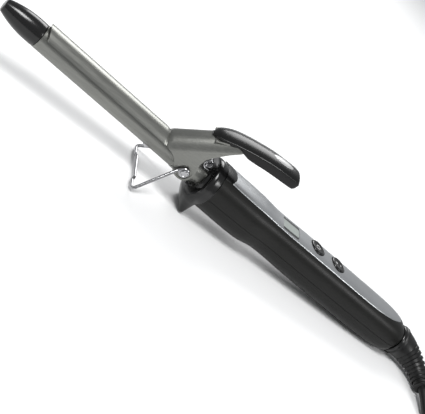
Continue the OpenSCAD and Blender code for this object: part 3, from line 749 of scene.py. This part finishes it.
# the clamp seen from the side
ear = [(-121, 4.6), (-24, 4.6), (-17, 4.3), (-13.5, 3.2), (-10.5, 1.2), (-8.4, -1.8), (-6.2, -5.0),
       (-3, -6.6), (0.5, -7), (3.6, -6.2), (5.6, -4.2), (6.4, 0), (6.0, 4), (4.2, 7.2), (2.9, 11), (3.2, 16),
       (5.8, 21.2), (10.4, 28.6), (16, 35.6), (13, 36), (8, 34.5), (2, 31.5)]


def channel(r, more=0):
    s = clampSize
    mitre = s["angle"] / 2
    axis = -s["bend"] + s["outer"] * math.tan(mitre)
    ring = [(r * math.cos(a), r * math.sin(a)) for a in (math.pi * k / 48 for k in range(49))]
    ring += [(-r, -40), (r, -40)]
    first = [Vector((s["tongue"] - 1 - more, y, z)) for y, z in ring]
    # the bend is rolled over a few stations
    out = [first]
    base = [Vector((axis - z * math.tan(mitre), y, z)) for y, z in ring]
    inward = Vector((math.sin(mitre), 0, -math.cos(mitre)))
    for k in range(-4, 5):
        along = Vector((1, 0, 0)) if k <= 0 else Vector((math.cos(s["angle"]), 0, math.sin(s["angle"])))
        sag = (1 - abs(k) / 4) ** 2 * s["sag"]
        out.append([p + along * s["roll"] * (k / 4) + inward * sag for p in base])
    end = Vector((math.cos(s["angle"]), 0, math.sin(s["angle"]))) * (70 + more)
    out.append([p + end for p in base])
    return skin(out)


def makeClamp():
    # a bent channel, cut to its side and plan outlines
    s = clampSize
    obj = piece("clamp", *channel(s["outer"]), "titanium", "clamp_lever", smooth=False)
    top = [(-2, s["outer"] + 21 * math.tan(s["angle"])), (-23, s["outer"] + 0.4), (-27, s["outer"] + 0.4),
           (s["tongue"], s["outer"] + 0.4)]
    side = rounded(ear + top, 1.4, 3)
    combine(obj, tool(*slabBetween(side, -30, 30)), "INTERSECT")
    middle, wide = s["tongue"] + s["tongueEnd"], s["tongueHalf"]
    plan = [(middle + s["tongueEnd"] * math.cos(math.radians(a)), wide * math.sin(math.radians(a)))
            for a in range(90, 271, 5)] + [(80, -12), (80, 12)]
    n = len(plan)
    points = [(x, y, z) for z in (-20, 60) for x, y in plan]
    faces = [tuple(range(n)), tuple(range(2 * n - 1, n - 1, -1))]
    faces += [(k, k + n, (k + 1) % n + n, (k + 1) % n) for k in range(n)]
    combine(obj, tool(points, faces), "INTERSECT")
    combine(obj, tool(*channel(s["inner"], 2)), "DIFFERENCE")
    return obj


def earDisc(y0, y1, r, count=64):
    return skin([[(r * math.cos(a), y, pivotSize["z"] + r * math.sin(a))
                  for a in (2 * math.pi * k / count for k in range(count))] for y in (y0, y1)])


clamp = makeClamp()
for sign in (-1, 1):
    for part, kind in (("floor", "UNION"), ("dish", "DIFFERENCE"), ("hole", "DIFFERENCE")):
        y0, y1, r = earSize[part]
        combine(clamp, tool(*earDisc(sign * y0, sign * y1, r)), kind)
crossPiece = [(-2, 27.9), (2, 30.3), (8, 33.4), (14, 34.9), (14, 35.9), (8, 34.5), (2, 31.5), (-2, 29.3)]
combine(clamp, tool(*slabBetween(crossPiece, -8.2, 8.2)), "UNION")
edge = clamp.modifiers.new("edge", "BEVEL")
edge.width, edge.segments, edge.limit_method, edge.angle_limit = 0.12 * mm, 2, "ANGLE", math.radians(50)
apply(clamp)
shade(clamp, 30)
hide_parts("clamp")
print("clamp made")

# thumb rest: x, underside, crease height, crown above the crease and share of the full width
restTable = [(-4.5, 27.8, 28.7, 0.4, 0.2), (-2, 28.4, 31, 1.2, 0.6), (2, 29.8, 33.2, 1.7, 0.84),
             (8, 32, 36, 1.9, 0.97), (15, 34.4, 38.3, 2, 1), (22, 33.8, 40.2, 2, 1), (36, 36, 43.2, 2, 1),
             (50, 37.7, 44.7, 2, 0.99), (56.8, 38.6, 45, 1.8, 0.96), (58, 39.6, 44.4, 1.4, 0.9)]


restSize = {"half": 9, "flat": 0.93, "power": 2.2}


def restRing(x):
    low, crease, crown, share = (tableAt(restTable, x, k) for k in (1, 2, 3, 4))
    half, flat, ring = restSize["half"] * share, restSize["flat"], []
    shape = [(-0.80, 0), (-0.9, 0.06), (-0.95, 0.25), (-0.98, 0.6), (-1, 0.93), (-0.985, 1.0), (-0.93, 1.0)]
    for y, u in shape:
        ring.append((x, half * y, low + (crease - low) * u))
    for k in range(1, 30):
        y = -flat + 2 * flat * k / 30
        ring.append((x, half * y, crease + crown * (1 - (abs(y) / flat) ** restSize["power"])))
    for y, u in reversed(shape):
        ring.append((x, -half * y, low + (crease - low) * u))
    return ring


restStations = [-4.5 + 0.8 * i for i in range(78)] + [57.6, 57.85, 58]
piece("thumb rest", *skin([restRing(x) for x in restStations]), "restBlack", "clamp_lever",
      stands=["thumb_rest"])


def restTop(x, y):
    crease, crown, share = (tableAt(restTable, x, k) for k in (2, 3, 4))
    across = abs(y) / (restSize["half"] * share) / restSize["flat"]
    return crease + crown * (1 - across ** restSize["power"])


inlaySize = {"x": 42.5, "half": 8, "halfWide": 3.4, "seat": -0.3,
             "crown": [(1.0, 0.05), (0.97, 0.22), (0.9, 0.34), (0.6, 0.5), (0.3, 0.58), (0.02, 0.6)]}


def makeInlay():
    s, rings = inlaySize, []
    for r, h in [(1.0, s["seat"])] + s["crown"]:
        rings.append([])
        for i in range(72):
            a = 2 * math.pi * i / 72
            x, y = s["x"] + s["half"] * r * math.cos(a), s["halfWide"] * r * math.sin(a)
            rings[-1].append((x, y, restTop(x, y) + h))
    return piece("thumb rest inlay", *skin(rings), "inlay", "clamp_lever", stands=["thumb_rest_inlay"])


makeInlay()

# pivot collar, rivets, stand, stud and spring
def turnedY(name, outline, sign, finishName, body, stands=()):
    # an outline of (y, radius) turned about the pivot
    rings = [[(r * math.cos(a), sign * y, pivotSize["z"] + r * math.sin(a))
              for a in (2 * math.pi * k / 64 for k in range(64))] for y, r in outline]
    return piece(name, *skin(rings), finishName, body, stands=stands)


p = pivotSize
r, head, y = p["rivet"], p["head"], p["headFrom"]
rivetOutline = [(7.6, r), (y, r), (y, head - 0.2), (y + 0.1, head - 0.02), (y + 0.4, head),
                (y + 0.65, head - 0.2), (y + 0.8, 1.9), (y + 0.8, r), (y + 0.6, r - 0.15), (y + 0.55, 0.02)]
r, y = p["pad"], p["padEnd"]
padOutline = [(6.4, r), (y - 0.2, r), (y, r - 0.2), (y, 0.02)]
for sign in (-1, 1):
    first = sign > 0
    turnedY("rivet", rivetOutline, sign, "steel", "iron", ["pivot_rivets"] if first else ())
    turnedY("pivot pad", padOutline, sign, "steel", "iron", ["pivot_collar"] if first else ())
collarOutline = [(-7, 8.0), (-6.9, 8.35), (6.9, 8.35), (7, 8.0), (7, 7.9), (-7, 7.9), (-7, 8.0)]
piece("pivot collar", *lathe(collarOutline, 96), "titanium", "iron")

standSize = {"wire": 1.12, "eye": 2.65, "eyeY": 11.25, "corner": (-20, 25, -26.2), "round": 3.4}


def standPath():
    # from the ring about the rivet, out and down the leg, round the corner and in along the crossbar
    t = standSize
    eyePoint, corner = Vector((0, t["eyeY"], pivotSize["z"])), Vector(t["corner"])
    down = Vector((corner.x, 0, corner.z - pivotSize["z"])).normalized()
    back = Vector((down.z, 0, -down.x))
    start = eyePoint + t["eye"] * back
    flare = start + 3 * down
    leg = (corner - flare).normalized()
    mid = corner - 1.2 * down
    half = []
    for a in range(330, 19, -22):
        turned = math.cos(math.radians(a)) * back - math.sin(math.radians(a)) * down
        half.append(eyePoint + t["eye"] * turned)
    half += [start, start + 1.6 * down, flare + 0.8 * leg, flare + 3 * leg, corner - 12 * leg]
    for k in range(6):
        u = k / 5
        half.append(corner - t["round"] * (1 - u) ** 2 * leg + t["round"] * u * u * Vector((0, -1, 0)))
    half += [Vector((corner.x, 15, corner.z)), Vector((mid.x, 11, mid.z)), Vector((mid.x, 5, mid.z))]
    return half + [Vector((p.x, -p.y, p.z)) for p in reversed(half)]


standWire = sweep(smoothLine(standPath(), 420), standSize["wire"], 28)
piece("wire stand", *standWire, "steel", "wire_stand", stands=["stand"])

studSize = {"x": -26.2, "radius": 2.4,
            "outline": [(-7.4, 1.0), (-8.9, 1.0), (-9.4, 0.9), (-9.7, 0.6), (-9.8, 0.02)]}
rings = []
for z, share in studSize["outline"]:
    r = studSize["radius"] * share
    rings.append([(studSize["x"] + r * math.cos(a), r * math.sin(a), z)
                  for a in (2 * math.pi * k / 48 for k in range(48))])
piece("parking stud", *skin(rings), "steel", "iron", stands=["stand_stud"])

springSize = {"wire": 0.58, "radius": 2.8, "x": 9.4, "halfWide": 4.6, "turns": 4.25, "seat": 8.7,
              "top": (1, 4.6, 26.8)}


def springPath():
    t, steps = springSize, 102
    r, x, w, base = t["radius"], t["x"], t["halfWide"], t["seat"]
    path = [Vector((x + 3.2, -w, base)), Vector((x + 1.6, -w, base))]
    for i in range(steps + 1):
        a = 2 * math.pi * t["turns"] * i / steps
        path.append(Vector((x - r * math.sin(a), -w + 2 * w * i / steps, base + r - r * math.cos(a))))
    return path + [Vector((x - r - 1.4, w, base + r + 4)), Vector(t["top"])]


springWire = sweep(smoothLine(springPath(), 620), springSize["wire"], 12)
spring = piece("clamp spring", *springWire, "steel", None, stands=["clamp_spring"])
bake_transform(spring)
print("pivot made")

# guard
ringOutline = [(13, 8.2), (13, 11), (15.2, 12.4), (14.6, 15.4), (15.2, 16.8), (17, 17.6), (20, 17.3),
               (22.6, 17.2)]
guardRing = rounded(ringOutline, 0.8, 4) + [(22.6, 8.2), (13, 8.2)]
guard = piece("guard", *lathe(guardRing, 128), "glossBlack", "iron", smooth=False)
# height, front, rear and half width of the chin
chinTable = [(-24.4, 19.4, 20.6, 9.6), (-24.1, 18.2, 21.4, 11.2), (-22.6, 16.6, 22.6, 12),
             (-18.4, 13.2, 23.6, 12.4), (-14.6, 10.8, 24, 13.4), (-11.6, 9.8, 23.4, 14.6),
             (-8, 10.4, 22.6, 15.6), (-3, 12.6, 22.5, 16.2), (1, 14.4, 22.5, 16.1)]
guardSize = {"sharpness": 0.75, "voxel": 0.34, "bore": 8.05, "front": 12.9, "frontBore": 9.6,
             "ventRing": 10.6, "vents": 24, "ventLow": -0.2}


def chinTool():
    rings = []
    low, high, steps = chinTable[0][0], chinTable[-1][0], 51
    for i in range(steps + 1):
        z = low + (high - low) * i / steps
        front, back, half = (tableAt(chinTable, z, k) for k in (1, 2, 3))
        ring = []
        for k in range(72):
            a = 2 * math.pi * k / 72
            x = math.copysign(abs(math.cos(a)) ** guardSize["sharpness"], math.cos(a))
            y = math.copysign(abs(math.sin(a)) ** guardSize["sharpness"], math.sin(a))
            ring.append(((front + back) / 2 + (back - front) / 2 * x, half * y, z))
        rings.append(ring)
    return skin(rings)


combine(guard, tool(*chinTool()), "UNION")
g = guardSize
combine(guard, tool(*lathe([(0, g["frontBore"]), (g["front"], g["frontBore"])], 96)), "DIFFERENCE")
melt = guard.modifiers.new("melt", "REMESH")
melt.mode, melt.voxel_size = "VOXEL", g["voxel"] * mm
apply(guard)
soften = guard.modifiers.new("soften", "SMOOTH")
soften.factor, soften.iterations = 0.5, 9
apply(guard)
combine(guard, tool(*lathe([(14, g["bore"]), (40, g["bore"])], 96)), "DIFFERENCE")
guard.data.shade_smooth()
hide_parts("guard")


def makeVents():
    g = guardSize
    # vents: thin dark discs on the guard's face, painted shade where the vent openings would show dark
    rings = [[(0.62 * math.cos(a), 1.1 * math.sin(a), z) for a in (2 * math.pi * k / 32 for k in range(32))]
             for z in (-0.12, 0.05)]
    spots = []
    for k in range(g["vents"]):
        a = 2 * math.pi * (k + 0.5) / g["vents"]
        if math.sin(a) > g["ventLow"]:
            spots.append(((12.95, g["ventRing"] * math.cos(a), g["ventRing"] * math.sin(a)), (-1, 0, 0), 0.8))
    return setOut("guard-vents", tool(*skin(rings), tabletop), spots, "well", "iron")


makeVents()


capSize = {"front": 22, "length": 9.4, "half": 10, "lift": 0.9, "thick": 2.2}


def makeCap():
    s, rings = capSize, []
    for i in range(13):
        x = s["front"] + s["length"] * i / 12
        half = s["half"] * math.sqrt(max(0.04, 1 - (i / 13) ** 3))
        ring = []
        for k in range(25):
            y = half * (1 - k / 12)
            fall = 0.5 * (abs(y) / half) ** 6 + 0.6 * (i / 12) ** 4
            ring.append((x, y, outerZ(x, y) + s["lift"] - fall))
        rings.append(ring + [(x, y, z - s["thick"]) for x, y, z in reversed(ring)])
    return piece("guard cap", *skin(rings), "glossBlack", "iron", stands=["guard_cap"])


makeCap()
print("guard made")

# swivel and strain relief
reliefSize = {"base": 11.8, "end": 5.6, "ribs": 8, "depth": 0.9, "start": (211, 0, 4.7),
              "bend": (29, -27, -3.3), "straight": 15, "side": 16}


def reliefAt(u):
    # the relief's centre line: out along the handle, then round to the front and down
    t, s = reliefSize, 1 - u
    a, first = t["bend"], t["start"]
    return Vector((first[0] + 3 * t["straight"] * s * s * u + 3 * s * u * u * a[0] + u ** 3 * a[0],
                   first[1] + 3 * s * u * u * (a[1] + t["side"]) + u ** 3 * a[1],
                   first[2] + 3 * s * u * u * a[2] * 0.8 + u ** 3 * a[2]))


def reliefRadius(u):
    s = reliefSize
    return s["base"] + (s["end"] - s["base"]) * u ** 0.85 if u > 0.05 else s["base"]


def makeRelief():
    count, s = 300, reliefSize
    path = [reliefAt(i / count) for i in range(count + 1)]
    radii = []
    for i in range(count + 1):
        u = i / count
        step = min(1, max(0, (u - 0.28) / 0.015)) * min(1, max(0, (0.965 - u) / 0.015))
        r = reliefRadius(u) - s["depth"] * step
        radii.append(r - max(0, 0.02 - u) * 30 - max(0, u - 0.985) * 60)
    return piece("strain relief", *sweep(path, radii, 56), "rubber", "cord_end", stands=["strain_relief"])


def makeRibs():
    edge = [(0.86, -0.15), (0.975, -0.15), (1, -0.12), (1, 0.12), (0.975, 0.15), (0.86, 0.15)]
    rings = [[(r * math.cos(a), r * math.sin(a), z) for a in (2 * math.pi * k / 72 for k in range(72))]
             for r, z in edge]
    spots = []
    for k in range(reliefSize["ribs"]):
        u = 0.33 + 0.6 * k / (reliefSize["ribs"] - 1)
        spots.append((reliefAt(u), reliefAt(u + 0.005) - reliefAt(u - 0.005), reliefRadius(u)))
    return setOut("relief-ribs", tool(*skin(rings, closed=True), tabletop), spots, "rubber", "cord_end")


relief, ribs = makeRelief(), makeRibs()
swivelOutline = [(196, 4.9), (208.4, 4.9), (208.4, 10.6), (209.4, 11.2), (211.4, 11.2), (211.6, 5)]
piece("swivel", *lathe(rounded(swivelOutline, 0.5), 96, (0, 4.7)), "glossBlack", "cord_end",
      stands=["swivel_core"])
print("relief made")

# screws under the handle: one cross-headed screw, set out three times
screwSize = {"x": (50, 118, 184), "head": 2.4, "cross": 1.5}


def makeScrews():
    r, c = screwSize["head"], screwSize["cross"]
    outline = ((1.6, r), (0.35, r), (0.12, r - 0.15), (0.02, r - 0.5), (0, 0.02))
    rings = [[(q * math.cos(a), q * math.sin(a), h) for a in (2 * math.pi * k / 48 for k in range(48))]
             for h, q in outline]
    head = tool(*skin(rings), tabletop)
    head.data.materials.append(finish["steel"])
    bpy.context.scene.collection.objects.link(head)
    for a, b in ((c, 0.28), (0.28, c)):
        combine(head, tool(*roundBox(-a, a, -b, b, -1, 0.7, 0.2), tabletop), "DIFFERENCE")
    low = lambda x: tableAt(handleTable, x, 1) - tableAt(handleTable, x, 2)
    setOut("shell-screws", head, [((x, 0, low(x)), (0, 0, 1), 1) for x in screwSize["x"]], "steel", "iron",
           stands=["shell_screws"])


makeScrews()

# pieces inside the iron keep their own shapes and get a finish
innerFinish = {"nickel": ("heat_spreader_upper", "heat_spreader_lower", "thermal_fuse", "contact_rings"),
               "inlay": ("heater_core", "temperature_sensor", "barrel_mount", "display_module",
                         "circuit_board", "button_switches", "board_components", "heater_leads",
                         "swivel_bush")}
for finishName, names in innerFinish.items():
    for name in names:
        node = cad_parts[name]
        node.data.materials.clear()
        node.data.materials.append(finish[finishName])


# floor and lights
def pale(here):
    cloud = noise(here, 3)
    return {"Base Color": cloud.colour((0.86, 0.86, 0.86), (0.9, 0.9, 0.9)), "Roughness": 0.55 + 0.1 * cloud}


bpy.ops.mesh.primitive_plane_add(size=6, location=(0, 0, -0.0004))
floor = bpy.context.object
floor.data.materials.append(material("floor", (0.88, 0.88, 0.88), pale))
world = bpy.data.worlds.new("world")
bpy.context.scene.world = world
world.use_nodes = True
world.node_tree.nodes["Background"].inputs[0].default_value = (0.96, 0.98, 1, 1)
world.node_tree.nodes["Background"].inputs[1].default_value = 0.42
bpy.context.scene.view_settings.view_transform = "Standard"
lamps = {"key": ((-0.25, -0.35, 0.95), 0.35, 7.5), "back": ((0.15, 0.75, 0.6), 0.5, 5),
         "strip": ((0.55, -0.45, 0.5), 0.2, 1.5)}
for name, (place, size, power) in lamps.items():
    lamp = bpy.data.objects.new(name, bpy.data.lights.new(name, "AREA"))
    bpy.context.scene.collection.objects.link(lamp)
    lamp.data.size, lamp.data.energy = size, power
    aim = (-Vector(place)).to_track_quat("-Z", "Y").to_matrix().to_4x4()
    lamp.matrix_world = Matrix.Translation(place) @ aim
